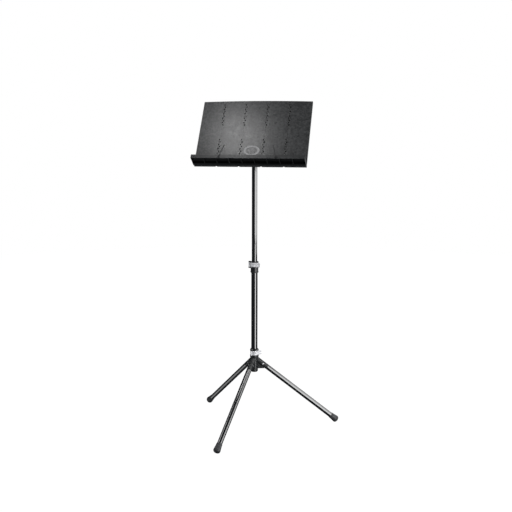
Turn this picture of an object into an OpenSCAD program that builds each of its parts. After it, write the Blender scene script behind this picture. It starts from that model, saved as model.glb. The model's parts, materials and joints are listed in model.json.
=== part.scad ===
// Folding orchestra music stand. Three legs fold on a hub, a two-stage pole slides in
// lever clamps, and a five-panel desk tilts, turns and folds its wings behind it.
// Millimetres, +Z up, floor at z = 0. The desk faces -Y. The origin is on the floor,
// in the middle of the stand's footprint, so the pole stands a little off it.

/* [Desk] */
// Width of the open desk
desk_w = 490; // [460:5:510]
// Height of the desk along its own slope
desk_h = 337; // [325:1:350]
// Rise of the desk's top edge in the middle
crown = 4; // [0:0.5:8]
// Depth of a panel's rim
panel_t = 11; // [10:0.5:12]
// Lean of the desk back from upright, in degrees
desk_lean = 35; // [25:1:45]
// Reach of the tray in front of the desk
tray_d = 64.5; // [58:0.5:72]
// Number of compartments under the tray
tray_bays = 9; // [5:2:11]
// Length of a page holder from its pivot
holder_len = 62; // [50:1:70]
// Inward lean of a page holder, in degrees
holder_lean = 18.5; // [5:0.5:30]

/* [Pole] */
// Height of the tilt pivot above the floor
pivot_z = 1306; // [1290:1:1320]
// Outside diameter of the upper tube
upper_tube_d = 24.5; // [24:0.1:25]
// Outside diameter of the lower tube
lower_tube_d = 28.5; // [28:0.1:29]
// Height of the lower end of the upper clamp
upper_clamp_z = 711; // [690:1:730]
// Turn of the upper clamp about the pole, in degrees
upper_clamp_turn = 11; // [0:1:20]
// Turn of the lower clamp about the pole, in degrees
lower_clamp_turn = 63; // [50:1:75]

/* [Legs] */
// Direction of the first leg, in degrees from +X
leg_turn = 16.9; // [5:0.1:25]
// Slope of an open leg below the horizontal, in degrees
leg_slope = 38.85; // [36:0.05:41]
// Height at which the leg axes meet on the pole axis
leg_apex_z = 320.5; // [318:0.5:322]
// Outside diameter of a leg tube
leg_tube_d = 23; // [22:0.5:24]
// Largest diameter of a rubber foot
foot_d = 31.4; // [29:0.2:33]

/* [Hidden] */
$fn = 48;
run_gap = 0.05;
side_gap = 0.3;

// Legs. Distances along a leg are counted from its rivet.
leg_n = 3;
rivet_r = 38;
rivet_z = leg_apex_z - rivet_r * tan(leg_slope);
rivet_shaft_r = 3;
rivet_head_r = 4.8;
cheek_half = 10.5;
fin_t = 6;
head_start = -33.5;
slot_end = 25;
tube_start = 26;
foot_len = 42;
dome_len = 10;
sole_cut = 0.75;
dome_reach = sqrt(pow(dome_len * sin(leg_slope), 2) + pow(foot_d / 2 * cos(leg_slope), 2));
dome_z = dome_reach - sole_cut;
dome_r = (leg_apex_z - dome_z) / tan(leg_slope);
dome_s = (dome_r - rivet_r) / cos(leg_slope);
foot_start = dome_s + dome_len - foot_len;
leg_wall = 1.2;

// The pole stands off the origin so that the footprint is centred on it.
far_leg = leg_turn + 360 / leg_n;
near_leg = leg_turn - 360 / leg_n;
pole_x = -dome_r * (cos(leg_turn) + cos(far_leg)) / 2;
pole_y = -dome_r * (sin(near_leg) + sin(far_leg)) / 2;

// Hub and lower clamp
hub_r = 16.5;
hub_bore_r = 15.3;
flange_r = 18.6;
hub_z0 = 259;
hub_z1 = 318;
lower_band_z = 332;
band_h = 21;
lower_r = lower_tube_d / 2;
upper_r = upper_tube_d / 2;
lower_bore_r = lower_r - 1.25;
upper_bore_r = upper_r - 1.25;
lower_z0 = 258.7;
upper_band_z = upper_clamp_z + 27;
lower_z1 = upper_band_z + 1;
clamp_pin_x = -22.4;
clamp_pin_r = 1.6;
lever_turn = 82;
lever_tail = 24;
band_t = 3;
band_gap = 0.4;

// Upper tube, its swivel bush and its head
upper_z0 = 575;
bush_z0 = 555;
bush_spindle_r = 9;
head_z0 = pivot_z - 64;
upper_z1 = pivot_z - 34;
head_r = 15.4;
cheek_in = 8.6;
cheek_out = 13.6;
eye_r = 11;
bolt_r = 3;

// Desk. In the desk's own frame x is its width, y runs out of its back, z up its slope.
panel_n = 5;
panel_w = desk_w / panel_n;
skin_t = 2.6;
rim_t = 2.4;
foot_rim = 14;
line_gap = 0.2;
front_slab = 7;
pin_y = panel_t + 0.2;
knuckle_r = 3.5;
hinge_pin_r = 1.5;
knuckle_pitch = 12;
knuckle_n = 10;
knuckle_starts = [19, desk_h - 12 - knuckle_n * knuckle_pitch];
knuckle_side = knuckle_r + 0.5;
window_w = 5;
window_h = 6.4;
pivot_back = 30;
pivot_up = 158.7;
plate_t = 2.5;
plate_half = 27;
plate_z = [102, 216];
screw_r = 2;
screw_x = 20;
screw_rows = [112, 206];
lug_half = 8;

// Tray
tray_gap = 0.3;
floor_top = 5;
floor_t = 2.2;
lip_top = 13;
tray_under = -4.4;
lip_t = 3;
heel_strip = 23;
heel_nose = 6.6;
heel_wall = 3;
rib_t = 2;
tongue_x = 30;
tongue_w = 14;
tongue_z = [5.5, 9.5];
tongue_len = 8;
holder_x = 123.5;
holder_z = 3;
holder_t = 2.4;
holder_y = -tray_d - 0.7;
badge_w = 73;
badge_h = 52;
badge_z = 77;
badge_t = 1;

// ---- Shared shapes ----

module at_pole() {
    translate([pole_x, pole_y, 0]) children();
}

module at_clamp(z, turn) {
    at_pole() translate([0, 0, z]) rotate([0, 0, turn]) children();
}

// A leg's own frame: +Z runs down the leg from its rivet, +X points down and inward.
module along_leg(i) {
    at_pole() rotate([0, 0, leg_turn - (i - 1) * 360 / leg_n])
        translate([rivet_r, 0, rivet_z]) rotate([0, 90 + leg_slope, 0]) children();
}

module in_desk() {
    at_pole() translate([0, 0, pivot_z]) rotate([-desk_lean, 0, 0])
        translate([0, -pivot_back, -pivot_up]) children();
}

module ring(r_out, r_in, h) {
    difference() {
        cylinder(r = r_out, h = h);
        translate([0, 0, -1]) cylinder(r = r_in, h = h + 2);
    }
}

// A cylinder that runs along X between two places
module rod_x(r, x0, x1, sides = 48) {
    translate([x0, 0, 0]) rotate([0, 90, 0]) cylinder(r = r, h = x1 - x0, $fn = sides);
}

// A cylinder that runs along Y between two places
module rod_y(r, y0, y1) {
    translate([0, y0, 0]) rotate([-90, 0, 0]) cylinder(r = r, h = y1 - y0);
}

// ---- Hub and legs ----

// The hub's fin in the plane of a leg: it fills the head's slot and stays under its roof.
module fin() {
    rotate([90, 0, 0]) translate([0, 0, -fin_t / 2]) linear_extrude(fin_t)
        polygon([[hub_bore_r + 0.6, 267], [46, 267], [46, 284], [40, 294],
                 [18, 311.5], [hub_bore_r + 0.6, 311.5]]);
}

module hub() {
    color("#1b1c1d") difference() {
        at_pole() union() {
            translate([0, 0, hub_z0]) cylinder(r = hub_r, h = hub_z1 - hub_z0);
            for (i = [1:leg_n]) rotate([0, 0, leg_turn - (i - 1) * 360 / leg_n]) fin();
        }
        at_pole() translate([0, 0, hub_z0 - 1]) cylinder(r = hub_bore_r, h = 100);
        for (i = [1:leg_n]) along_leg(i) rod_y(rivet_shaft_r + run_gap, -fin_t, fin_t);
    }
}

module hub_bush() {
    color("#d8d6cc") at_pole() translate([0, 0, hub_z0 + 3])
        ring(hub_bore_r, lower_r + run_gap, 48);
}

// The forked head: a round stub with flat cheeks, slotted for the fin, and a spigot
// that plugs the tube. Its heel rests on the hub when the leg is open.
module leg_head(i) {
    stub_r = leg_tube_d / 2;
    spigot_r = stub_r - leg_wall - run_gap;
    color("#232425") difference() {
        along_leg(i) difference() {
            union() {
                intersection() {
                    translate([0, 0, head_start])
                        cylinder(r = stub_r, h = tube_start - head_start);
                    translate([-20, -cheek_half, head_start])
                        cube([40, 2 * cheek_half, tube_start - head_start]);
                }
                translate([0, 0, tube_start - 2]) cylinder(r = spigot_r, h = 28);
            }
            translate([-8.5, -fin_t / 2 - side_gap, head_start - 1])
                cube([40, fin_t + 2 * side_gap, slot_end - head_start + 1]);
            rod_y(rivet_shaft_r + run_gap, -20, 20);
        }
        at_pole() cylinder(r = hub_r + side_gap, h = hub_z1);
        at_pole() translate([0, 0, hub_z1 - side_gap]) cylinder(r = flange_r + side_gap, h = 20);
    }
}

module leg_tube(i) {
    color("#121314") along_leg(i) translate([0, 0, tube_start])
        ring(leg_tube_d / 2, leg_tube_d / 2 - leg_wall, dome_s - 6 - tube_start);
}

module leg_rivet(i) {
    color("#8f9294") along_leg(i) {
        rod_y(rivet_shaft_r, -cheek_half - 1, cheek_half + 1);
        for (side = [-1, 1]) scale([1, side, 1]) {
            rod_y(rivet_head_r, cheek_half, cheek_half + 1.2);
            rod_y(rivet_head_r - 1.5, cheek_half + 1.2, cheek_half + 2);
        }
    }
}

// A bell of rubber with a domed end and a seam, cut flat where it stands on the floor
module leg_foot(i) {
    mouth_r = leg_tube_d / 2 + 1.4;
    seam_s = foot_len - dome_len;
    dome = [for (a = [0:10:90])
        [foot_d / 2 * cos(a) + 0.001, foot_len - dome_len + dome_len * sin(a)]];
    color("#3a3d40") intersection() {
        along_leg(i) translate([0, 0, foot_start]) difference() {
            rotate_extrude() polygon(concat(
                [[0, 0], [mouth_r - 0.8, 0], [mouth_r, 0.8], [mouth_r + 0.3, 6],
                 [foot_d / 2 - 0.3, seam_s - 1.6], [foot_d / 2 - 1.1, seam_s - 1]],
                dome, [[0, foot_len]]));
            translate([0, 0, -1])
                cylinder(r = leg_tube_d / 2, h = dome_s - 6 - foot_start + 1);
        }
        at_pole() cylinder(r = 500, h = 400);
    }
}

// ---- Lever clamps ----

// Ears above and below the band that hold a lever's pin
module clamp_ears(gap_z, inner_r) {
    for (z = [-5, band_h]) translate([0, 0, z + gap_z]) {
        translate([clamp_pin_x, 0, 0]) cylinder(r = 4.6, h = 5);
        translate([clamp_pin_x, -4.6, 0]) cube([-clamp_pin_x - inner_r, 9.2, 5]);
    }
}

module ear_holes() {
    translate([clamp_pin_x, 0, -10]) cylinder(r = clamp_pin_r, h = band_h + 20);
}

// The slit that lets a collar close on its tube
module collar_slit(z0, h) {
    rotate([0, 0, 205]) translate([0, -1, z0]) cube([30, 2, h]);
}

module lower_collar() {
    z0 = hub_z1 - lower_band_z;
    color("#1b1c1d") at_clamp(lower_band_z, lower_clamp_turn) difference() {
        union() {
            translate([0, 0, z0]) cylinder(r = flange_r, h = 5);
            translate([0, 0, z0 + 5]) cylinder(r = 19.6, h = -z0 - 5);
            cylinder(r = 17.6, h = band_h);
            translate([0, 0, band_h]) cylinder(r = 19.8, h = 3);
            translate([0, 0, band_h + 3]) cylinder(r1 = 19.8, r2 = 16.6, h = 5.5);
            clamp_ears(0, 17);
        }
        translate([0, 0, z0 - 1]) cylinder(r = hub_bore_r, h = 60);
        ear_holes();
        collar_slit(-1, band_h + 20);
    }
}

module lower_liner() {
    color("#2c2e30") at_clamp(lower_band_z, lower_clamp_turn) difference() {
        translate([0, 0, -4]) ring(hub_bore_r, lower_r + run_gap, band_h + 8);
        collar_slit(-10, band_h + 20);
    }
}

module upper_collar() {
    z0 = upper_clamp_z - upper_band_z;
    color("#1b1c1d") at_clamp(upper_band_z, upper_clamp_turn) difference() {
        union() {
            translate([0, 0, z0]) cylinder(r1 = 16, r2 = 18.2, h = 3);
            translate([0, 0, z0 + 3]) cylinder(r = 18.2, h = 3);
            translate([0, 0, z0 + 6]) cylinder(r = 17.2, h = -z0 - 11);
            translate([0, 0, -5]) cylinder(r = 18.8, h = 5);
            cylinder(r = 17.2, h = band_h);
            translate([0, 0, band_h]) cylinder(r = 18.8, h = 2);
            translate([0, 0, band_h + 2]) cylinder(r1 = 18.8, r2 = 16.6, h = 1.5);
            clamp_ears(0, 16);
        }
        translate([0, 0, z0 - 1]) cylinder(r = lower_r, h = -z0 + 2);
        cylinder(r = upper_r + 1.4, h = 60);
        ear_holes();
        collar_slit(1, band_h + 20);
    }
}

module upper_liner() {
    color("#2c2e30") at_clamp(upper_band_z, upper_clamp_turn) difference() {
        translate([0, 0, 1]) ring(upper_r + 1.4, upper_r + run_gap, band_h + 2);
        collar_slit(3, band_h + 20);
    }
}

module clamp_pin(z, turn) {
    color("#9a9da0") at_clamp(z, turn) translate([clamp_pin_x, 0, -5])
        cylinder(r = clamp_pin_r, h = band_h + 10);
}

// A lever's section in (outward, up): two ridges with a groove between them
module lever_section(wrap_r, inset = 0) {
    in_r = wrap_r + inset;
    out_r = wrap_r + band_t - inset;
    low = 0.5 + inset;
    top = band_h - 0.5 - inset;
    mid = band_h / 2;
    polygon([[in_r, low], [out_r - 0.8, low], [out_r, low + 0.8], [out_r, mid - 2.2],
             [out_r - 1, mid - 1.2], [out_r - 1, mid + 1.2], [out_r, mid + 2.2],
             [out_r, top - 0.8], [out_r - 0.8, top], [in_r, top]]);
}

// A lever with a barrel on the pin: it wraps a quarter of its collar and runs straight
// on as a finger tail.
module clamp_lever(z, turn, wrap_r) {
    low = 0.5;
    top = band_h - 0.5;
    color("#c9cbcd") at_clamp(z, turn) difference() {
        union() {
            rotate([0, 0, 270 - lever_turn]) rotate_extrude(angle = lever_turn, $fn = 72)
                lever_section(wrap_r);
            translate([-1, 0, 0]) mirror([0, 1, 0]) rotate([90, 0, 90])
                linear_extrude(lever_tail + 1) lever_section(wrap_r, 0.1);
            translate([clamp_pin_x, 0, low]) cylinder(r = 4, h = top - low);
            rotate([0, 0, 270 - lever_turn]) translate([wrap_r, -2.2, low])
                cube([band_t, 2.8, top - low]);
        }
        translate([clamp_pin_x, 0, -1]) cylinder(r = clamp_pin_r + run_gap, h = band_h + 2);
    }
}

// ---- Pole ----

module lower_tube() {
    color("#0f1011") at_pole() translate([0, 0, lower_z0])
        ring(lower_r, lower_bore_r, lower_z1 - lower_z0);
}

// Plug with a flange: it stops the tube from pulling out of the top of the hub
module lower_tube_stop() {
    color("#1b1c1d") at_pole() difference() {
        union() {
            translate([0, 0, lower_z0]) cylinder(r = lower_bore_r, h = 14);
            translate([0, 0, lower_z0 - 3]) cylinder(r = hub_r - 0.5, h = 3);
            translate([0, 0, lower_z0 - 5]) cylinder(r1 = hub_r - 2.5, r2 = hub_r - 0.5, h = 2);
        }
        translate([0, 0, lower_z0 - 6]) cylinder(r = 9, h = 30);
    }
}

module guide_bush() {
    color("#d8d6cc") at_pole() translate([0, 0, bush_z0])
        ring(lower_bore_r - run_gap, bush_spindle_r + run_gap, upper_z0 - bush_z0 - 0.2);
}

module upper_tube() {
    color("#0f1011") at_pole() translate([0, 0, upper_z0])
        ring(upper_r, upper_bore_r, upper_z1 - upper_z0);
}

// Plug whose spindle carries the guide bush, so that the tube can turn in it
module upper_tube_plug() {
    color("#1b1c1d") at_pole() {
        translate([0, 0, upper_z0]) cylinder(r = upper_bore_r, h = 22);
        translate([0, 0, bush_z0 - 1]) cylinder(r = bush_spindle_r, h = upper_z0 - bush_z0 + 2);
        translate([0, 0, bush_z0 - 5]) cylinder(r = upper_r, h = 4.8);
    }
}

module pole_head() {
    floor_z = pivot_z - eye_r - 0.8;
    color("#1b1c1d") at_pole() difference() {
        union() {
            translate([0, 0, head_z0]) cylinder(r1 = head_r - 1, r2 = head_r, h = 3);
            translate([0, 0, head_z0 + 3]) cylinder(r = head_r, h = floor_z - head_z0 - 3);
            for (x = [-cheek_out, cheek_in]) translate([x, 0, 0]) {
                translate([0, -eye_r, floor_z - 1])
                    cube([cheek_out - cheek_in, 2 * eye_r, pivot_z - floor_z + 1]);
                translate([0, 0, pivot_z]) rod_x(eye_r, 0, cheek_out - cheek_in);
            }
        }
        translate([0, 0, head_z0 - 1]) cylinder(r = upper_r, h = upper_z1 - head_z0 + 1);
        translate([0, 0, pivot_z]) rod_x(bolt_r + run_gap, -20, 20);
    }
}

module tilt_bolt() {
    color("#9a9da0") at_pole() translate([0, 0, pivot_z]) {
        rod_x(bolt_r, -cheek_out - 1, cheek_out + 11);
        rod_x(6, -cheek_out - 4, -cheek_out, 6);
    }
}

module tilt_washers() {
    color("#7f8284") at_pole() translate([0, 0, pivot_z])
        for (x = [-cheek_in, lug_half + 0.1]) translate([x, 0, 0]) difference() {
            rod_x(9.5, 0, cheek_in - lug_half - 0.1);
            rod_x(bolt_r + run_gap, -1, 2);
        }
}

module tilt_knob() {
    grip_r = 13.4;
    scallops = 6;
    scallop_r = 4.6;
    color("#1b1c1d") at_pole() translate([0, 0, pivot_z]) difference() {
        union() {
            rod_x(8, cheek_out + 0.3, cheek_out + 4);
            rod_x(grip_r, cheek_out + 4, cheek_out + 14);
        }
        for (k = [1:scallops]) rotate([(k - 0.25) * 360 / scallops, 0, 0])
            translate([0, grip_r + 2.4, 0]) rod_x(scallop_r, cheek_out + 3, cheek_out + 15);
        rod_x(5, 0, cheek_out + 12);
    }
}

module knob_insert() {
    color("#b08d45") at_pole() translate([0, 0, pivot_z]) difference() {
        rod_x(5, cheek_out + 0.3, cheek_out + 11.5);
        rod_x(bolt_r + run_gap, 0, cheek_out + 14);
    }
}

// ---- Desk ----

// One barrel of a hinge with the web that ties it to its panel; side is -1 or 1
module knuckle(line_x, side, z0) {
    translate([line_x, pin_y, z0 + 0.2]) cylinder(r = knuckle_r, h = knuckle_pitch - 0.4);
    translate([min(line_x, line_x + side * (knuckle_side + 0.4)), pin_y - knuckle_r, z0 + 0.2])
        cube([knuckle_side + 0.4, knuckle_r, knuckle_pitch - 0.4]);
}

// The barrels and the window cuts of one hinge line. The panel on the low side of the
// line owns the even barrels and the panel on the high side the odd ones.
module knuckles(line_x, side) {
    for (start = knuckle_starts, k = [0:knuckle_n - 1])
        if ((k % 2 == 0) == (side < 0)) knuckle(line_x, side, start + k * knuckle_pitch);
}

module knuckle_windows(line_x, side) {
    for (start = knuckle_starts, k = [0:knuckle_n - 1])
        if ((k % 2 == 0) != (side < 0))
            translate([line_x + min(side, 0) * window_w, -1,
                       start + (k + 0.5) * knuckle_pitch - window_h / 2])
                cube([window_w, front_slab + 3, window_h]);
}

// Height of the desk's gently arched top edge at a place across its width
function top_edge(x) = desk_h + crown * (1 - pow(2 * x / desk_w, 2));

// A slab of the desk between two places across its width
module slab(x0, x1, depth) {
    steps = 4;
    translate([0, depth, 0]) rotate([90, 0, 0]) linear_extrude(depth)
        polygon(concat([[x0, 0], [x1, 0]],
            [for (k = [steps:-1:0]) let(x = x0 + (x1 - x0) * k / steps) [x, top_edge(x)]]));
}

// Pockets behind a panel's skin, between its rim, its ribs and, at the middle, its pads
module panel_pockets(x0, x1) {
    cols = 2;
    rows = 5;
    rib = 2;
    w = (x1 - x0 - 2 * rim_t - rib) / cols;
    h = (desk_h - foot_rim - rim_t - rib * (rows - 1)) / rows;
    for (c = [0:cols - 1], r = [0:rows - 1])
        translate([x0 + rim_t + c * (w + rib), skin_t, foot_rim + r * (h + rib)])
            cube([w, panel_t, h]);
}

module desk_panel(i) {
    x0 = (i - 1 - panel_n / 2) * panel_w;
    x1 = x0 + panel_w;
    low = i > 1 ? line_gap : 0;
    high = i < panel_n ? line_gap : 0;
    back_low = i > 1 ? knuckle_side : 0;
    back_high = i < panel_n ? knuckle_side : 0;
    middle = i == (panel_n + 1) / 2;
    color("#3f4143") in_desk() difference() {
        union() {
            difference() {
                union() {
                    slab(x0 + low, x1 - high, front_slab);
                    slab(x0 + back_low, x1 - back_high, panel_t);
                }
                panel_pockets(x0 + back_low, x1 - back_high);
            }
            if (middle) for (x = [-screw_x, screw_x], z = screw_rows)
                translate([x, 0, z]) rod_y(6, skin_t - 1, panel_t);
            if (i > 1) knuckles(x0, 1);
            if (i < panel_n) knuckles(x1, -1);
        }
        if (i > 1) knuckle_windows(x0, 1);
        if (i < panel_n) knuckle_windows(x1, -1);
        for (x = [i > 1 ? x0 : 900, i < panel_n ? x1 : 900])
            translate([x, pin_y, 0]) cylinder(r = hinge_pin_r + run_gap, h = desk_h);
        if (middle) {
            for (x = [-screw_x, screw_x], z = screw_rows)
                translate([x, 0, z]) rod_y(screw_r, skin_t, panel_t + 1);
            for (x = [-tongue_x, tongue_x])
                translate([x - tongue_w / 2 - side_gap, -1, tongue_z[0] - side_gap])
                    cube([tongue_w + 2 * side_gap, tongue_len + 1.5,
                          tongue_z[1] - tongue_z[0] + 2 * side_gap]);
        }
    }
}

module hinge_pin(i) {
    start = knuckle_starts[0];
    end = knuckle_starts[1] + knuckle_n * knuckle_pitch;
    color("#9a9da0") in_desk() translate([(i - panel_n / 2) * panel_w, pin_y, start - 1.5]) {
        cylinder(r = 2.7, h = 1.7);
        cylinder(r = hinge_pin_r, h = end - start + 3);
    }
}

module carrier_plate() {
    color("#17181a") in_desk() difference() {
        translate([-plate_half, panel_t, plate_z[0]])
            cube([2 * plate_half, plate_t, plate_z[1] - plate_z[0]]);
        for (x = [-screw_x, screw_x], z = screw_rows)
            translate([x, 0, z]) rod_y(screw_r + 0.3, 0, 20);
    }
}

// The block on the back of the plate whose eye turns on the tilt bolt
module carrier_lug() {
    back = panel_t + plate_t;
    color("#17181a") in_desk() difference() {
        union() {
            translate([0, pivot_back, pivot_up]) rod_x(eye_r, -lug_half, lug_half);
            translate([-lug_half, 0, 0]) rotate([90, 0, 90]) linear_extrude(2 * lug_half)
                polygon([[back, pivot_up - eye_r], [pivot_back, pivot_up - eye_r],
                         [pivot_back, pivot_up + eye_r], [back, pivot_up + 2 * eye_r]]);
        }
        translate([0, pivot_back, pivot_up]) rod_x(bolt_r + run_gap, -20, 20);
    }
}

module carrier_screws() {
    back = panel_t + plate_t;
    color("#9a9da0") in_desk() for (x = [-screw_x, screw_x], z = screw_rows)
        translate([x, 0, z]) difference() {
            union() {
                rod_y(screw_r, skin_t + 0.5, back);
                rod_y(4, back, back + 2);
            }
            for (turn = [0, 90]) rotate([0, turn, 0])
                translate([-2.4, back + 1, -0.5]) cube([4.8, 3, 1]);
        }
}

// A plain raised oval: a flat field inside a raised rim
module desk_badge() {
    color("#b9bbbd") in_desk() translate([0, 0, badge_z]) scale([1, 1, badge_h / badge_w])
        difference() {
            rod_y(badge_w / 2, -badge_t, 0);
            rod_y(badge_w / 2 - 4, -badge_t - 1, -badge_t + 0.4);
        }
}

// ---- Tray and page holders ----

// The tray's section: y runs out of the desk's back, so the lip is at -tray_d
module tray_section() {
    polygon([[-tray_gap, lip_top], [-tray_gap, 0], [-heel_nose, tray_under],
             [-tray_d, tray_under], [-tray_d, lip_top - 0.8], [-tray_d + 0.8, lip_top],
             [-tray_d + lip_t, lip_top], [-tray_d + lip_t, floor_top],
             [-tray_gap - heel_wall, floor_top], [-tray_gap - heel_wall, lip_top]]);
}

module tray() {
    bay = desk_w / tray_bays;
    color("#2b2d2f") in_desk() difference() {
        union() {
            translate([-desk_w / 2, 0, 0]) rotate([90, 0, 90])
                linear_extrude(desk_w) tray_section();
            for (x = [-tongue_x, tongue_x]) translate([x - tongue_w / 2, -1, tongue_z[0]])
                cube([tongue_w, tongue_len + 1, tongue_z[1] - tongue_z[0]]);
            for (x = [-holder_x, holder_x]) translate([x, 0, holder_z])
                rod_y(4, holder_y + 0.2, -tray_d + 1);
        }
        for (k = [0:tray_bays - 1])
            translate([-desk_w / 2 + k * bay + rib_t / 2, -tray_d + lip_t, tray_under - 1])
                cube([bay - rib_t, tray_d - lip_t - heel_strip, floor_top - floor_t - tray_under + 1]);
        for (x = [-holder_x, holder_x]) translate([x, 0, holder_z])
            rod_y(1.6, holder_y - 1, -tray_d + lip_t + 2);
    }
}

// A slim arm in front of the lip; side is -1 on the left and 1 on the right
module page_holder(side) {
    color("#1d1e1c") in_desk() translate([side * holder_x, holder_y, holder_z])
        rotate([0, -side * holder_lean, 0]) difference() {
            union() {
                rod_y(4.2, -holder_t, 0);
                rotate([90, 0, 0]) linear_extrude(holder_t)
                    polygon([[-2.3, 0], [2.3, 0], [1.6, holder_len - 2], [-1.6, holder_len - 2]]);
                translate([0, 0, holder_len - 2]) rod_y(1.6, -holder_t, 0);
            }
            rod_y(1.6 + run_gap, -holder_t - 1, 1);
        }
}

module holder_rivet(side) {
    color("#1d1e1c") in_desk() translate([side * holder_x, 0, holder_z]) {
        rod_y(1.6, holder_y - holder_t - 0.5, -tray_d + lip_t);
        rod_y(3.2, holder_y - holder_t - 1.3, holder_y - holder_t - 0.1);
    }
}

hub();
hub_bush();
lower_collar();
lower_liner();
clamp_pin(lower_band_z, lower_clamp_turn);  // lower_clamp_pin
clamp_lever(lower_band_z, lower_clamp_turn, 17.6 + band_gap);  // lower_lever
leg_head(1);  // leg_head_1
leg_head(2);  // leg_head_2
leg_head(3);  // leg_head_3
leg_tube(1);  // leg_tube_1
leg_tube(2);  // leg_tube_2
leg_tube(3);  // leg_tube_3
leg_rivet(1);  // leg_rivet_1
leg_rivet(2);  // leg_rivet_2
leg_rivet(3);  // leg_rivet_3
leg_foot(1);  // leg_foot_1
leg_foot(2);  // leg_foot_2
leg_foot(3);  // leg_foot_3
lower_tube();
lower_tube_stop();
upper_collar();
upper_liner();
clamp_pin(upper_band_z, upper_clamp_turn);  // upper_clamp_pin
clamp_lever(upper_band_z, upper_clamp_turn, 17.2 + band_gap);  // upper_lever
guide_bush();
upper_tube();
upper_tube_plug();
pole_head();
tilt_bolt();
tilt_washers();
tilt_knob();
knob_insert();
carrier_plate();
carrier_lug();
carrier_screws();
desk_panel(1);  // desk_panel_1
desk_panel(2);  // desk_panel_2
desk_panel(3);  // desk_panel_3
desk_panel(4);  // desk_panel_4
desk_panel(5);  // desk_panel_5
hinge_pin(1);  // hinge_pin_1
hinge_pin(2);  // hinge_pin_2
hinge_pin(3);  // hinge_pin_3
hinge_pin(4);  // hinge_pin_4
desk_badge();
tray();
page_holder(-1);  // page_holder_left
page_holder(1);  // page_holder_right
holder_rivet(-1);  // holder_rivet_left
holder_rivet(1);  // holder_rivet_right
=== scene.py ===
"""A folding orchestra music stand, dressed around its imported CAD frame.

Lengths are in metres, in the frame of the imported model: +Z is up and the desk faces -Y.
Places and sizes come from the frame's joints and nodes. CAD nodes whose shape is right
keep their mesh and get soft edges and a material; the others are replaced by finer pieces.
"""
import json
import math

import bmesh
import bpy
from mathutils import Euler, Matrix, Vector


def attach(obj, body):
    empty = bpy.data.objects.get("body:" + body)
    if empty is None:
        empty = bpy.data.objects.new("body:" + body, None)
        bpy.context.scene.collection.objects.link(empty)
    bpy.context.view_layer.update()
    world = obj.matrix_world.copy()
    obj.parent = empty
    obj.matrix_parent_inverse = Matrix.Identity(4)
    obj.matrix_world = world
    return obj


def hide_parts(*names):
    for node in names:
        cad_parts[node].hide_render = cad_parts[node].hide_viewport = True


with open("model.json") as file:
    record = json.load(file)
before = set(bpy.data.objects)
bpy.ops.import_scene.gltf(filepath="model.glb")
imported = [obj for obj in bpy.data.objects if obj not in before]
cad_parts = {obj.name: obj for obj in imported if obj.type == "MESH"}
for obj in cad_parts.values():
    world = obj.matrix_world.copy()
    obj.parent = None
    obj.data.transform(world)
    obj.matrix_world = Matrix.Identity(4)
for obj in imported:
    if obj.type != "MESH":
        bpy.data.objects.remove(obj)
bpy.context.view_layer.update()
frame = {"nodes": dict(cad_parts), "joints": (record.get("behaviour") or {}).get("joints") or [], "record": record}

MM = 0.001
TAU = 2 * math.pi
UP = Vector((0, 0, 1))
BLACK = (0.001, 0.001, 0.001)
JOINTS = {joint["name"]: joint for joint in frame["joints"]}
LEGS = (1, 2, 3)


# ---- Frames of the object's parts ----

def place_of(x_axis, y_axis, z_axis, origin):
    """The matrix that takes a part's own frame to the row frame."""
    turn = Matrix((x_axis, y_axis, z_axis)).transposed().to_4x4()
    return Matrix.Translation(origin) @ turn


def extent(node, place):
    """The lowest and highest corners of a CAD node, in the frame of place."""
    back = place.inverted()
    points = [back @ v.co for v in frame["nodes"][node].data.vertices]
    return tuple(Vector([pick(p[k] for p in points) for k in range(3)]) for pick in (min, max))


TILT = Vector(JOINTS["desk_tilt"]["pos_m"])
POLE = Matrix.Translation((TILT.x, TILT.y, 0))
LEG_SLOPE = math.radians(38.85)


def leg_place(i):
    """A leg's own frame: z runs down it from its rivet, and y is the rivet's axis."""
    joint = JOINTS[f"leg_{i}_fold"]
    swing = Vector(joint["axis"])
    out = UP.cross(swing)
    down_leg = out * math.cos(LEG_SLOPE) - UP * math.sin(LEG_SLOPE)
    inward = -out * math.sin(LEG_SLOPE) - UP * math.cos(LEG_SLOPE)
    return place_of(inward, -swing, down_leg, Vector(joint["pos_m"]))


def clamp_place(which):
    """A clamp's own frame: on the pole's axis at the height of its lever's pin, which lies along -x."""
    pin = Vector(JOINTS[f"{which}_lever_open"]["pos_m"])
    turn = math.atan2(TILT.y - pin.y, TILT.x - pin.x)
    return Matrix.Translation((TILT.x, TILT.y, pin.z)) @ Matrix.Rotation(turn, 4, "Z")


def desk_place():
    """The desk's own frame: x runs along its width, y out of its back, and z up its slope.

    Its origin is in the middle of the lower front edge."""
    up = Vector(JOINTS["wing_right_inner_fold"]["axis"]).normalized()
    across = Vector((1, 0, 0))
    turn = place_of(across, up.cross(across), up, Vector((0, 0, 0)))
    low, high = extent("desk_panel_3", turn)
    return turn @ Matrix.Translation(((low.x + high.x) / 2, low.y, low.z))


DESK = desk_place()


# ---- Camera, floor and light ----

def add_camera():
    data = bpy.data.cameras.new("camera")
    data.lens = 56.43
    data.sensor_width = 36
    data.clip_start = 0.05
    data.clip_end = 60
    camera = bpy.data.objects.new("camera", data)
    camera.location = Vector((643.3, -3433.6, 1320)) * MM
    camera.rotation_euler = Euler((math.radians(90 - 8.53), math.radians(-0.11), math.radians(11.04)))
    bpy.context.scene.collection.objects.link(camera)
    bpy.context.scene.camera = camera


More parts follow.
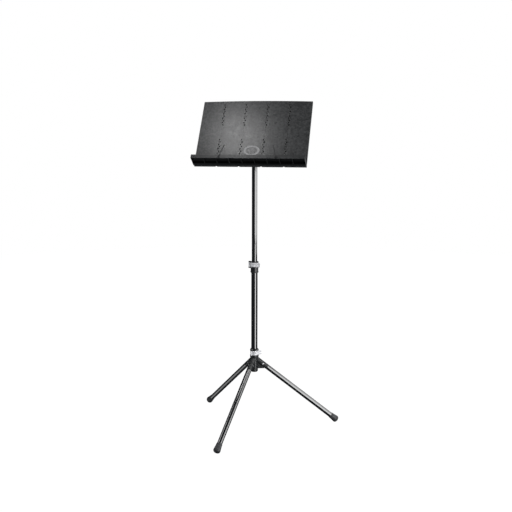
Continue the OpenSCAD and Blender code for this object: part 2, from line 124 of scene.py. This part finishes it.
def add_light(name, place, target, size, radiance):
    """A soft rectangular light at place that faces target."""
    data = bpy.data.lights.new(name, "AREA")
    data.shape = "RECTANGLE"
    data.size, data.size_y = size
    data.energy = radiance * math.pi * size[0] * size[1]
    lamp = bpy.data.objects.new(name, data)
    aim = (Vector(target) - Vector(place)).to_track_quat("-Z", "Y")
    lamp.matrix_world = Matrix.Translation(place) @ aim.to_matrix().to_4x4()
    lamp.visible_camera = False
    bpy.context.scene.collection.objects.link(lamp)


def add_wall(name, azimuths, heights, radiance):
    """An upright light that covers a range of azimuths in degrees and of heights, seen from the pole."""
    distance = 2.5
    middle = math.radians(sum(azimuths) / 2)
    spread = math.radians(azimuths[1] - azimuths[0])
    height = sum(heights) / 2
    pole = POLE @ Vector((0, 0, height))
    place = pole + distance * Vector((math.cos(middle), math.sin(middle), 0))
    size = (2 * distance * math.tan(spread / 2), heights[1] - heights[0])
    add_light(name, place, pole, size, radiance)


def add_glint(name, spot, normal, distance, size, radiance):
    """A small square light that the camera sees mirrored at spot, on a face with this normal."""
    view = (bpy.context.scene.camera.location - spot).normalized()
    place = spot + distance * (2 * normal.dot(view) * normal - view)
    add_light(name, place, spot, (size, size), radiance)


def add_lights():
    """A key softbox at the right front, cards behind it, fills, and a small light over the desk."""
    add_wall("key_low", (-58, -25), (-0.5, 0.5), 5.0)
    add_wall("key_high", (-66, 10), (0.5, 1.05), 4.2)
    add_wall("key_top", (-52, 10), (1.05, 2.0), 2.8)
    add_light("overhead", POLE @ Vector((1.06, -0.28, 2.1)), POLE @ Vector((0, 0, 0.3)), (0.5, 0.5), 5)
    add_light("fill_left", POLE @ Vector((-1.9, -0.9, 2.4)), POLE @ Vector((0, 0, 0.7)), (1.5, 1.5), 4.5)
    add_wall("card_right", (10, 55), (0.42, 1.9), 1.6)
    add_wall("card_back", (55, 100), (0.42, 1.6), 0.4)
    add_wall("floor_right", (-17, 70), (-0.6, 0.42), 0.06)
    glow_spot = DESK @ Vector((-0.063, 0, 0.131))
    desk_normal = -DESK.to_3x3().col[1]
    add_glint("desk_glow", glow_spot, desk_normal, 1.1, 0.25, 11)
    left_foot = POLE @ Vector((-0.2, -0.1, 0.2))
    add_light("floor_left", POLE @ Vector((-1.5, -0.2, -0.9)), left_foot, (1.2, 1.2), 0.9)
    add_light("back_fill", TILT + Vector((-1.3, 2.0, 1.2)), TILT, (1.2, 1.2), 1.5)


def add_world():
    """White for the camera, and a dim grey room for light and reflections."""
    world = bpy.data.worlds.new("studio")
    bpy.context.scene.world = world
    world.use_nodes = True
    tree = world.node_tree
    tree.nodes.clear()
    seen = tree.nodes.new("ShaderNodeBackground")
    seen.inputs["Color"].default_value = (1, 1, 1, 1)
    room = tree.nodes.new("ShaderNodeBackground")
    room.inputs["Color"].default_value = (0.8, 0.9, 1, 1)
    room.inputs["Strength"].default_value = 0.06
    path = tree.nodes.new("ShaderNodeLightPath")
    mix = tree.nodes.new("ShaderNodeMixShader")
    out = tree.nodes.new("ShaderNodeOutputWorld")
    tree.links.new(path.outputs["Is Camera Ray"], mix.inputs["Fac"])
    tree.links.new(room.outputs[0], mix.inputs[1])
    tree.links.new(seen.outputs[0], mix.inputs[2])
    tree.links.new(mix.outputs[0], out.inputs["Surface"])


def add_floor():
    """A floor that glows as white as the backdrop, so that the two meet without an edge."""
    bm = bmesh.new()
    bmesh.ops.create_circle(bm, cap_ends=True, radius=6, segments=96)
    mesh = bpy.data.meshes.new("floor")
    bm.to_mesh(mesh)
    floor = bpy.data.objects.new("floor", mesh)
    bpy.context.scene.collection.objects.link(floor)
    material = bpy.data.materials.new("pale_floor")
    material.use_nodes = True
    shader = material.node_tree.nodes["Principled BSDF"]
    shader.inputs["Base Color"].default_value = (0.02, 0.02, 0.02, 1)
    shader.inputs["Roughness"].default_value = 0.9
    shader.inputs["Emission Color"].default_value = (1, 1, 1, 1)
    shader.inputs["Emission Strength"].default_value = 1.0
    mesh.materials.append(material)
    floor.visible_diffuse = False
    floor.visible_glossy = False
    floor.visible_shadow = False


# ---- Materials ----

class Shader:
    """A Principled material with a few helpers that add and join nodes."""

    def __init__(self, name, color, roughness, metallic=0.0):
        self.material = bpy.data.materials.new(name)
        self.material.use_nodes = True
        self.tree = self.material.node_tree
        self.bsdf = self.tree.nodes["Principled BSDF"]
        self.bsdf.inputs["Base Color"].default_value = (*color, 1)
        self.bsdf.inputs["Roughness"].default_value = roughness
        self.bsdf.inputs["Metallic"].default_value = metallic
        self.coords = self.tree.nodes.new("ShaderNodeTexCoord").outputs["Object"]
        self.color, self.roughness = color, roughness
        self.height = None

    def node(self, kind, inputs=(), **settings):
        made = self.tree.nodes.new("ShaderNode" + kind)
        for key, value in settings.items():
            setattr(made, key, value)
        for key, value in dict(inputs).items():
            if isinstance(value, bpy.types.NodeSocket):
                self.tree.links.new(value, made.inputs[key])
            else:
                made.inputs[key].default_value = value
        return made

    def noise(self, size, detail=2.0, stretch=(1, 1, 1)):
        """A noise whose features are about size metres across, and longer where stretch is over 1."""
        scale = Vector([1 / (size * s) for s in stretch])
        spread = self.node("Mapping", {"Vector": self.coords, "Scale": scale})
        noise = self.node("TexNoise", {"Vector": spread.outputs[0], "Scale": 1.0, "Detail": detail})
        return noise.outputs["Fac"]

    def along(self, place, axis):
        """How far a point lies along an axis of place, from its origin."""
        direction = place.to_3x3().col[axis]
        dot = self.node("VectorMath", {0: self.coords, 1: direction}, operation="DOT_PRODUCT")
        origin = direction.dot(place.translation)
        return self.node("Math", {0: dot.outputs["Value"], 1: -origin}, operation="ADD").outputs[0]

    def between(self, value, low, high, blend):
        """1 where value lies from low to high, and 0 outside, over a blend at each end."""
        rise = self.remap(value, 0.0, 1.0, low, low + blend)
        fall = self.remap(value, 1.0, 0.0, high - blend, high)
        return self.times(rise, fall)

    def times(self, one, other):
        return self.node("Math", {0: one, 1: other}, operation="MULTIPLY").outputs[0]

    def remap(self, value, low, high, start=0.3, end=0.7):
        inputs = {"Value": value, "From Min": start, "From Max": end, "To Min": low, "To Max": high}
        return self.node("MapRange", inputs).outputs["Result"]

    def vary_color(self, factor, other):
        """Mixes the colour so far towards other, by factor."""
        mix = self.node("Mix", {"Factor": factor}, data_type="RGBA")
        first, second = [s for s in mix.inputs if s.type == "RGBA"]
        source = self.bsdf.inputs["Base Color"]
        if source.is_linked:
            self.tree.links.new(source.links[0].from_socket, first)
        else:
            first.default_value = (*self.color, 1)
        second.default_value = (*other, 1)
        result = [s for s in mix.outputs if s.type == "RGBA"][0]
        self.tree.links.new(result, source)
        return self

    def vary_roughness(self, factor, spread):
        low, high = max(self.roughness - spread, 0.02), self.roughness + spread
        self.tree.links.new(self.remap(factor, low, high), self.bsdf.inputs["Roughness"])
        return self

    def bump(self, factor, depth):
        """Raises the surface by depth metres where factor is 1. Calls add up."""
        inputs = {"Height": factor, "Distance": depth, "Strength": 1.0}
        if self.height is not None:
            inputs["Normal"] = self.height
        self.height = self.node("Bump", inputs).outputs["Normal"]
        self.tree.links.new(self.height, self.bsdf.inputs["Normal"])
        return self

    def wear(self, color, amount=0.5, start=0.52, end=0.6):
        """Rubs sharp edges towards color, broken up by a noise."""
        edge = self.node("NewGeometry").outputs["Pointiness"]
        edge = self.remap(edge, 0.0, amount, start, end)
        patchy = self.remap(self.noise(9 * MM, 3), 0.0, 1.0, 0.4, 0.65)
        both = self.node("Math", {0: edge, 1: patchy}, operation="MULTIPLY").outputs[0]
        return self.vary_color(both, color)

    def set(self, **values):
        for key, value in values.items():
            self.bsdf.inputs[key.replace("_", " ").title().replace("Ior", "IOR")].default_value = value
        return self


def moulded_plastic(name, color, roughness, grain=0.9 * MM):
    """Satin moulded plastic with a fine spark-eroded grain, faint flow marks and rubbed edges."""
    s = Shader(name, color, roughness)
    s.vary_color(s.remap(s.noise(70 * MM, 3), 0.0, 0.4), [c * 1.3 for c in color])
    s.vary_color(s.remap(s.noise(5 * MM, 3), 0.0, 0.25), [c * 0.5 for c in color])
    s.vary_roughness(s.noise(20 * MM, 3), 0.03)
    s.bump(s.noise(grain, 2), 0.012 * MM)
    return s.wear([min(1, c * 2.6 + 0.02) for c in color], 0.6)


def powder_coat(name, color, roughness):
    """Gloss black powder coat: a hard clear skin over black, with faint long scuffs."""
    s = Shader(name, color, roughness)
    s.vary_color(s.remap(s.noise(60 * MM, 3), 0.0, 0.4), [c * 1.6 + 0.001 for c in color])
    s.vary_roughness(s.noise(30 * MM, 3, (1, 1, 6)), 0.03)
    s.set(specular_ior_level=0.25, coat_weight=1.0, coat_ior=2.0, coat_roughness=0.04)
    return s.wear([0.06, 0.06, 0.065], 0.4)


def satin_coat(name, color, roughness):
    """Satin black paint on thin steel: cloudy, with a fine grain and rubbed edges."""
    s = Shader(name, color, roughness)
    s.vary_color(s.remap(s.noise(12 * MM, 3), 0.0, 0.4), [c * 1.6 for c in color])
    s.vary_roughness(s.noise(6 * MM, 3), 0.06)
    s.bump(s.noise(0.8 * MM, 2), 0.006 * MM)
    return s.wear([0.07, 0.07, 0.072], 0.5)


def bare_metal(name, color, roughness, along=(1, 1, 1)):
    """Metal with fine drawn lines along one axis and cloudy plating."""
    s = Shader(name, color, roughness, 1.0)
    s.vary_color(s.remap(s.noise(8 * MM, 3), 0.0, 0.5), [c * 0.72 for c in color])
    s.vary_roughness(s.noise(0.8 * MM, 2, along), 0.08)
    s.bump(s.noise(0.5 * MM, 2, along), 0.008 * MM)
    return s


def lacquer(name, color, roughness):
    """Silver lacquer on a moulding: fine metallic flecks under a satin coat."""
    s = Shader(name, color, roughness, 0.15)
    s.vary_color(s.remap(s.noise(0.7 * MM, 1), 0.0, 0.2), [c * 0.8 for c in color])
    s.vary_roughness(s.noise(10 * MM, 3), 0.05)
    s.bump(s.noise(1.1 * MM, 1), 0.008 * MM)
    s.set(coat_weight=0.3, coat_roughness=0.2)
    return s.wear([0.35, 0.35, 0.36], 0.4)


def rubber(name, color, roughness):
    """Moulded rubber with a dusty bloom and a fine pitted skin."""
    s = Shader(name, color, roughness)
    s.vary_color(s.remap(s.noise(12 * MM, 4), 0.0, 0.5), [c * 1.7 + 0.01 for c in color])
    s.vary_color(s.remap(s.noise(1.6 * MM, 2), 0.0, 0.4), [c * 0.55 for c in color])
    s.vary_roughness(s.noise(6 * MM, 3), 0.08)
    s.bump(s.noise(0.8 * MM, 3), 0.05 * MM)
    return s.wear([0.12, 0.12, 0.125], 0.5)


def paint_window_shade(s):
    """Painted shade: the hinge windows between the panels are painted dark a little way in, where shade falls."""
    depth = s.between(s.along(DESK, 1), 0.8 * MM, 11 * MM, 0.8 * MM)
    pitch = extent("hinge_pin_3", DESK)[0].x - extent("hinge_pin_2", DESK)[0].x
    across = s.along(DESK, 0)
    # Distance from the nearest hinge line: the lines lie half a pitch off the middle.
    moved = s.node("Math", {0: across, 1: pitch / 2}, operation="ADD").outputs[0]
    wrapped = s.node("Math", {0: moved, 1: pitch / 2}, operation="PINGPONG").outputs[0]
    near = s.remap(wrapped, 1.0, 0.0, 5.2 * MM, 5.8 * MM)
    off_middle = s.node("Math", {0: across}, operation="ABSOLUTE").outputs[0]
    inside = s.remap(off_middle, 1.0, 0.0, 2 * pitch, 2.05 * pitch)
    # Painted shade: black is mixed into the base colour inside the hinge windows.
    return s.vary_color(s.times(s.times(depth, near), inside), BLACK)


def paint_bay_shade_and_heel_light(s):
    """Painted shade in the bays under the tray and in a band as far as the heel, and a painted lighter heel strip
    behind them.
    """
    under = extent("tray", DESK)[0]
    bay_back, heel_edge, blend = -23 * MM, -9 * MM, 0.5 * MM
    out = s.along(DESK, 1)
    up = s.along(DESK, 2)
    low = s.remap(up, 1.0, 0.0, under.z + 8 * MM, under.z + 8 * MM + blend)
    heel = s.between(out, bay_back - 1 * MM, heel_edge, blend)
    # Painted shade: the band behind the bays, up to the heel's edge, is painted near black.
    s.vary_color(s.times(heel, low), (0.002, 0.002, 0.002))
    # Painted light: the heel strip is painted paler than the rest of the tray.
    lit_heel_strip = s.remap(out, 0.0, 1.0, heel_edge, heel_edge + blend)
    s.vary_color(s.times(lit_heel_strip, low), (0.055, 0.056, 0.058))
    # Painted shade: the bays under the tray are painted black.
    bay = s.times(s.between(out, under.y + 3 * MM, bay_back, 0.3 * MM),
                  s.between(up, under.z + 0.3 * MM, under.z + 8.2 * MM, 0.6 * MM))
    return s.vary_color(bay, BLACK)


def darken_badge(s):
    """The badge's sunk field is black, between silver bars."""
    return s.vary_color(s.remap(s.along(DESK, 1), 0.0, 1.0, -0.55 * MM, -0.5 * MM), (0.012, 0.012, 0.013))


def make_materials():
    made = {
        "desk_plastic": moulded_plastic("desk_plastic", (0.022, 0.0225, 0.0232), 0.3),
        "tray_plastic": moulded_plastic("tray_plastic", (0.02, 0.021, 0.022), 0.34),
        "moulded_black": moulded_plastic("moulded_black", (0.014, 0.015, 0.016), 0.3, 0.7 * MM),
        "liner_plastic": moulded_plastic("liner_plastic", (0.03, 0.031, 0.033), 0.5),
        "nylon": moulded_plastic("nylon", (0.6, 0.58, 0.52), 0.45, 1.2 * MM),
        "gloss_black_steel": powder_coat("gloss_black_steel", (0.003, 0.003, 0.0035), 0.14),
        "satin_black_steel": satin_coat("satin_black_steel", (0.012, 0.012, 0.013), 0.5),
        "zinc_steel": bare_metal("zinc_steel", (0.52, 0.52, 0.53), 0.32),
        "brass": bare_metal("brass", (0.68, 0.5, 0.23), 0.28),
        "silver_badge": lacquer("silver_badge", (0.24, 0.24, 0.245), 0.45),
        "silver_lever": lacquer("silver_lever", (0.8, 0.8, 0.82), 0.42),
        "foot_rubber": rubber("foot_rubber", (0.035, 0.037, 0.04), 0.55),
    }
    paint_window_shade(made["desk_plastic"])
    paint_bay_shade_and_heel_light(made["tray_plastic"])
    darken_badge(made["silver_badge"])
    return made


# ---- Mesh helpers ----

def lathe(bm, profile, place, steps=64, closed=False):
    """Turns a profile of (radius, height) points about the z axis of place."""
    rings = []
    for radius, height in profile:
        count = steps if radius > 1e-6 else 1
        turns = [TAU * k / steps for k in range(count)]
        spots = [Vector((radius * math.cos(t), radius * math.sin(t), height)) for t in turns]
        rings.append([bm.verts.new(place @ spot) for spot in spots])
    for low, high in zip(rings, rings[1:] + (rings[:1] if closed else [])):
        for k in range(steps):
            around = ((low, k), (low, k + 1), (high, k + 1), (high, k))
            loop = [ring[j % steps % len(ring)] for ring, j in around]
            corners = list(dict.fromkeys(loop))
            if len(corners) > 2:
                bm.faces.new(corners)


def sweep(bm, stations, section):
    """Joins copies of a closed section of (x, y) points and caps the ends.

    Each station is the place of one copy, whose xy plane it fills, and how far its x and y are scaled."""
    rings = [[bm.verts.new(place @ Vector((x * sx, y * sy, 0))) for x, y in section]
             for place, sx, sy in stations]
    for low, high in zip(rings, rings[1:]):
        for k in range(len(section)):
            n = (k + 1) % len(section)
            bm.faces.new((low[k], low[n], high[n], high[k]))
    bm.faces.new(rings[0])
    bm.faces.new(rings[-1])


def soften(piece, width, segments=2, angle=35):
    """Rounds every edge sharper than angle, and evens the shading."""
    bevel = piece.modifiers.new("edges", "BEVEL")
    bevel.width = width
    bevel.segments = segments
    bevel.limit_method = "ANGLE"
    bevel.angle_limit = math.radians(angle)
    bevel.use_clamp_overlap = True
    normals = piece.modifiers.new("shading", "WEIGHTED_NORMAL")
    normals.keep_sharp = False
    normals.weight = 60


def add_piece(name, bm, body, slot, nodes=(), edge=0.4 * MM):
    """Makes a finished piece of bm that rides on body and stands for the CAD nodes."""
    bmesh.ops.recalc_face_normals(bm, faces=bm.faces)
    for face in bm.faces:
        face.smooth = True
    mesh = bpy.data.meshes.new(name)
    bm.to_mesh(mesh)
    bm.free()
    mesh.materials.append(MATERIALS[slot].material)
    piece = bpy.data.objects.new(name, mesh)
    bpy.context.scene.collection.objects.link(piece)
    if edge:
        soften(piece, edge)
    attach(piece, body)
    if nodes:
        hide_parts(*nodes)
    return piece


def dress(node, slot, edge):
    """Gives a CAD node its material and soft edges."""
    piece = frame["nodes"][node]
    piece.data.materials.clear()
    piece.data.materials.append(MATERIALS[slot].material)
    weld = piece.modifiers.new("join_faces", "WELD")
    weld.merge_threshold = 0.002 * MM
    soften(piece, edge)


# ---- Tubes ----

def add_tubes():
    """Steel tubes with rolled ends, in place of the plain CAD rings."""
    wall = 1.25 * MM
    jobs = [("upper_tube", "upper_pole", POLE), ("lower_tube", "lower_pole", POLE)]
    jobs += [(f"leg_tube_{i}", f"leg_{i}", leg_place(i)) for i in LEGS]
    for node, body, place in jobs:
        low, high = extent(node, place)
        radius = (high.y - low.y) / 2
        rows = 24
        heights = [low.z + (high.z - low.z) * k / rows for k in range(rows + 1)]
        outside = [(radius, z) for z in heights]
        inside = [(radius - wall, z) for z in reversed(heights)]
        bm = bmesh.new()
        lathe(bm, outside + inside, place, 72, closed=True)
        add_piece(f"{node}_steel", bm, body, "gloss_black_steel", [node])


# ---- Finer pieces ----

def shift(place, x=0.0, y=0.0, z=0.0):
    return place @ Matrix.Translation((x, y, z))


def rounded_bar(half_x, half_y, radius, steps=4):
    """The points of a rectangle with round corners, in order."""
    points = []
    for corner, (sx, sy) in enumerate(((1, 1), (-1, 1), (-1, -1), (1, -1))):
        for k in range(steps + 1):
            turn = math.radians(90 * (corner + k / steps))
            points.append((sx * (half_x - radius) + radius * math.cos(turn),
                           sy * (half_y - radius) + radius * math.sin(turn)))
    return points


def add_badge():
    """A plain oval plate: a round rim, a satin band, a fine ring and five level bars in a sunk field."""
    low, high = extent("desk_badge", DESK)
    half_w, half_h = (high.x - low.x) / 2, (high.z - low.z) / 2
    face = shift(DESK, (low.x + high.x) / 2, high.y, (low.z + high.z) / 2) @ Matrix.Rotation(TAU / 4, 4, "X")
    sunk, flat, rim = 0.35 * MM, 0.75 * MM, 1.0 * MM
    profile = [(0, sunk), (0.6, sunk), (0.61, flat), (0.65, flat), (0.66, sunk), (0.7, sunk), (0.71, flat),
               (0.92, flat), (0.935, rim), (0.98, rim), (0.995, rim * 0.7), (1, 0), (0, 0)]
    bm = bmesh.new()
    lathe(bm, profile, face @ Matrix.Diagonal((half_w, half_h, 1, 1)), 96)
    pitch = 0.19 * half_h
    for k in range(-2, 3):
        reach = 0.52 * half_w * math.sqrt(1 - (k * pitch / (0.56 * half_h)) ** 2)
        bar = rounded_bar(reach, 0.038 * half_h, 0.034 * half_h)
        sweep(bm, [(shift(face, 0, k * pitch, z), 1, 1) for z in (0, flat)], bar)
    add_piece("oval_badge", bm, "desk", "silver_badge", ["desk_badge"], edge=0.1 * MM)


def add_page_holders():
    """Slim spring arms with a little curl at the tip, each on a round eye at its rivet."""
    lean = math.radians(18.5)
    length = 62 * MM
    rows = 14
    for side, name in ((-1, "left"), (1, "right")):
        low, high = extent(f"page_holder_{name}", DESK)
        eye = DESK.inverted() @ Vector(JOINTS[f"page_holder_{name}_turn"]["pos_m"])
        thick = high.y - low.y
        place = shift(DESK, eye.x, low.y + thick / 2, eye.z) @ Matrix.Rotation(-side * lean, 4, "Y")
        stations = []
        for k in range(rows + 1):
            f = k / rows
            curl = 1.2 * MM * max(0, f - 0.7) / 0.3 * (f - 0.7) / 0.3
            taper = (1 - 0.32 * f) * (math.sqrt(1 - ((f - 0.93) / 0.08) ** 2) if f > 0.93 else 1)
            stations.append((shift(place, 0, -curl, f * length), taper, 1 - 0.3 * f))
        bm = bmesh.new()
        sweep(bm, stations, rounded_bar(2.5 * MM, thick / 2, 0.8 * MM))
        eye_place = place @ Matrix.Rotation(TAU / 4, 4, "X")
        hole, rim, half = 1.7 * MM, 4.4 * MM, thick / 2
        lathe(bm, [(hole, -half), (rim, -half), (rim, half), (hole, half)], eye_place, 40, closed=True)
        add_piece(f"page_holder_{name}_arm", bm, f"page_holder_{name}", "satin_black_steel",
                  [f"page_holder_{name}"], edge=0.3 * MM)


def lever_section(thick, height, groove):
    """A band's section: x is outward, with a rounded groove along the middle of the outer face."""
    rows = 20
    outer = []
    for k in range(rows + 1):
        z = -1 + 2 * k / rows
        dip = groove * max(0, math.cos(z / 0.3 * TAU / 4)) if abs(z) < 0.3 else 0
        round_off = thick * 0.45 * max(0, (abs(z) - 0.82) / 0.18) ** 2
        outer.append((thick / 2 - dip - round_off, z * height / 2))
    inner = [(-thick / 2, height / 2 * z) for z in (0.98, 0.5, 0, -0.5, -0.98)]
    return outer + inner


def add_levers():
    """Silver clamp levers: a grooved band about the collar, a barrel on the pin and a finger tail."""
    thick, height = 3.0 * MM, 20 * MM
    wrap, wrap_rows, tail_rows = 83, 30, 12
    section = lever_section(thick, height, 1.1 * MM)
    for which in ("lower", "upper"):
        place = clamp_place(which)
        node = f"{which}_lever"
        low, high = extent(node, place)
        middle = (low.z + high.z) / 2
        pin = place.inverted() @ Vector(JOINTS[f"{which}_lever_open"]["pos_m"])
        radius = -low.y - thick / 2
        stations = []
        # The section's x stays outward and its y turns up the pole.
        upright = Matrix.Rotation(TAU / 4, 4, "X")
        for k in range(wrap_rows + 1):
            turned = place @ Matrix.Rotation(math.radians(270 - wrap * (1 - k / wrap_rows)), 4, "Z")
            stations.append((shift(turned, radius, 0, middle) @ upright, 1, 1))
        for k in range(1, tail_rows + 1):
            f = k / tail_rows
            flare = 2.2 * MM * max(0, (f - 0.6) / 0.4) ** 2
            tip = max(0, (f - 0.8) / 0.2)
            stations.append((shift(turned, radius + flare, f * high.x, middle) @ upright,
                             1 - 0.25 * tip, 1 - 0.16 * tip ** 2))
        bm = bmesh.new()
        sweep(bm, stations, section)
        bore, barrel_r, round_off, half = 1.65 * MM, 4.0 * MM, 0.6 * MM, height / 2
        barrel = [(bore, -half), (barrel_r - round_off, -half), (barrel_r, round_off - half),
                  (barrel_r, half - round_off), (barrel_r - round_off, half), (bore, half)]
        lathe(bm, barrel, shift(place, pin.x, pin.y, middle), 40, closed=True)
        add_piece(f"{which}_clamp_lever", bm, node, "silver_lever", [node], edge=0.35 * MM)


def add_feet():
    """Rubber bells: a lip, a groove, a flared skirt, a seam and a domed end, flat on the floor."""
    length, dome = 42 * MM, 10 * MM
    for i in LEGS:
        place = leg_place(i)
        low, high = extent(f"leg_foot_{i}", place)
        tube_low, tube_high = extent(f"leg_tube_{i}", place)
        tube = (tube_high.y - tube_low.y) / 2
        bell = (high.y - low.y) / 2
        mouth, seam = tube + 1.5 * MM, length - dome
        bore, bore_end = tube + 0.05 * MM, tube_high.z - low.z
        profile = [(0, bore_end), (bore, bore_end), (bore, 0.4 * MM),
                   (mouth - 0.5 * MM, 0), (mouth, 0.5 * MM), (mouth, 2.4 * MM), (mouth - 0.5 * MM, 2.9 * MM),
                   (mouth - 0.5 * MM, 3.7 * MM), (mouth, 4.2 * MM)]
        for k in range(1, 9):
            f = k / 8
            flare = f ** 1.15
            profile.append((mouth + (bell - mouth) * flare, 4.2 * MM + (seam - 1.8 * MM - 4.2 * MM) * f))
        profile += [(bell - 0.9 * MM, seam - 1.3 * MM), (bell - 0.9 * MM, seam - 0.6 * MM), (bell, seam)]
        for k in range(1, 10):
            turn = TAU / 4 * k / 9
            profile.append((bell * math.cos(turn), seam + dome * math.sin(turn)))
        profile[-1] = (0, length)
        bm = bmesh.new()
        lathe(bm, profile, shift(place, 0, 0, low.z), 72)
        for vert in bm.verts:
            vert.co.z = max(vert.co.z, 0)
        add_piece(f"leg_foot_{i}_bell", bm, f"leg_{i}", "foot_rubber", [f"leg_foot_{i}"], edge=0)


add_camera()
add_world()
add_floor()
add_lights()
MATERIALS = make_materials()

EDGES = {"desk_plastic": 0.5, "tray_plastic": 0.5, "moulded_black": 0.6, "zinc_steel": 0.25,
         "liner_plastic": 0.2, "nylon": 0.3, "brass": 0.2, "satin_black_steel": 0.4,
         "silver_lever": 0.5, "foot_rubber": 0.5, "silver_badge": 0.3, "gloss_black_steel": 0.3}
for sub in frame["record"]["subparts"]:
    dress(sub["node"], sub["material_slot"], EDGES[sub["material_slot"]] * MM)
add_tubes()
add_badge()
add_page_holders()
add_levers()
add_feet()

bpy.context.scene.view_settings.view_transform = "Standard"
